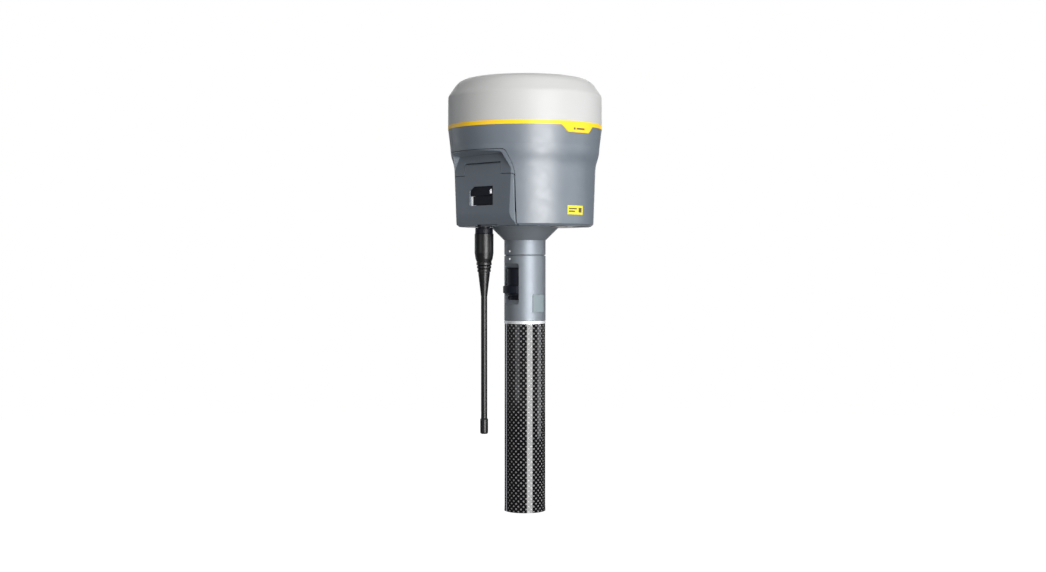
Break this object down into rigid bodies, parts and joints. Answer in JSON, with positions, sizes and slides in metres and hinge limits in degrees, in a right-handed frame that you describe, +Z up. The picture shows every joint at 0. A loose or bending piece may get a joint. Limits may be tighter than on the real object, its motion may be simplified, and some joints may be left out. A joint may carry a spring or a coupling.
{
  "type": "gnss receiver",
  "caption": "Round satellite surveying receiver with a whip radio antenna, on the quick-release adapter and top section of its carbon-fibre pole.",
  "frame": {"origin": "centre of the pole section's bottom end, at the mouth of its thread", "axes": "+Z up the pole; the battery door faces -Y, the keypad faces +Y, the trim tabs face +X and -X"},
  "size_m": [0.119, 0.119, 0.3349],
  "materials": {
    "carbon": "clear-coated woven carbon fibre",
    "bright_metal": "turned, bright",
    "satin_alloy": "satin anodised grey",
    "plain_metal": "machined",
    "black_plastic": "fine matt texture",
    "housing": "fine spark texture, blue-grey",
    "radome": "fine spark texture, light grey",
    "yellow_trim": "satin",
    "yellow_label": "satin film",
    "grey_label": "satin film",
    "white_paint": "paint filled",
    "black_rubber": "smooth matt rubber",
    "gasket": "soft seal",
    "board": "solder mask",
    "tin": "tin plate",
    "brass": "gold plated",
    "ceramic": "ceramic and foam",
    "battery": "moulded",
    "lens": "clear, lit from behind",
    "screw": "stainless"
  },
  "bodies": {
    "receiver": {"pole_tube": "carbon", "pole_foot_insert": "plain_metal", "pole_ring": "bright_metal", "pole_top_plug": "plain_metal", "adapter_body": "satin_alloy", "adapter_label": "grey_label", "adapter_dot": "white_paint", "collar_dot": "white_paint", "adapter_spigot": "plain_metal", "release_spring": "plain_metal", "housing_shell": "housing", "model_label": "yellow_label", "neck_cone": "satin_alloy", "neck_screws": "screw", "case_screws": "screw", "pressure_vent": "black_plastic", "door_surround": "housing", "hinge_pin": "plain_metal", "battery_bay": "black_plastic", "battery": "battery", "battery_contacts": "brass", "chassis": "plain_metal", "main_board": "board", "board_screws": "screw", "shield_can": "tin", "radio_board": "board", "ground_plate": "plain_metal", "antenna_element": "ceramic", "keypad_panel": "black_plastic", "keypad_board": "board", "status_lenses": "lens", "trim_ring": "yellow_trim", "radome": "radome", "radome_gasket": "gasket", "antenna_socket": "plain_metal", "port_connector_1": "plain_metal", "port_connector_2": "plain_metal"},
    "release": {"release_slider": "black_plastic", "release_plunger": "plain_metal"},
    "pin_right": {"lock_pin_right": "bright_metal"},
    "pin_left": {"lock_pin_left": "bright_metal"},
    "door": {"battery_door": "housing", "door_gasket": "gasket", "latch_plate": "black_plastic", "latch_flag": "white_paint", "lock_mark": "white_paint"},
    "latch": {"door_latch": "black_plastic", "latch_bolt": "plain_metal"},
    "button": {"power_button": "black_rubber"},
    "whip": {"antenna_nut": "black_plastic", "antenna_sleeve": "black_rubber", "antenna_rod": "black_rubber", "antenna_tip": "black_rubber"},
    "plug_1": {"port_cap_1": "black_rubber"},
    "plug_2": {"port_cap_2": "black_rubber"}
  },
  "joints": [
    {"name": "release_slide", "type": "slide", "parent": "receiver", "child": "release", "axis": [0, 0, -1], "range_m": [0, 0.0032], "stiffness_N_per_m": 500, "springref_m": -0.002, "deforming": ["release_spring"]},
    {"name": "pin_right_slide", "type": "slide", "parent": "receiver", "child": "pin_right", "axis": [-1, 0, 0], "range_m": [0, 0.00192]},
    {"name": "pin_left_slide", "type": "slide", "parent": "receiver", "child": "pin_left", "axis": [1, 0, 0], "range_m": [0, 0.00192]},
    {"name": "door_hinge", "type": "hinge", "parent": "receiver", "child": "door", "pos_m": [0, -0.0415, 0.263], "axis": [-1, 0, 0], "range_deg": [0, 100]},
    {"name": "latch_slide", "type": "slide", "parent": "door", "child": "latch", "axis": [-1, 0, 0], "range_m": [0, 0.0028], "stiffness_N_per_m": 300, "springref_m": -0.001},
    {"name": "button_press", "type": "slide", "parent": "receiver", "child": "button", "axis": [0, -1, 0], "range_m": [0, 0.0008], "stiffness_N_per_m": 1500, "springref_m": -0.0003},
    {"name": "whip_turn", "type": "hinge", "parent": "receiver", "child": "whip", "pos_m": [-0.0135, -0.0303, 0.2], "axis": [0, 0, 1], "continuous": true},
    {"name": "plug_1_pull", "type": "slide", "parent": "receiver", "child": "plug_1", "axis": [0, 0, -1], "range_m": [0, 0.008]},
    {"name": "plug_2_pull", "type": "slide", "parent": "receiver", "child": "plug_2", "axis": [0, 0, -1], "range_m": [0, 0.008]}
  ],
  "couplings": [
    {"joint": "pin_right_slide", "follows": "release_slide", "ratio": 0.6},
    {"joint": "pin_left_slide", "follows": "release_slide", "ratio": 0.6}
  ]
}
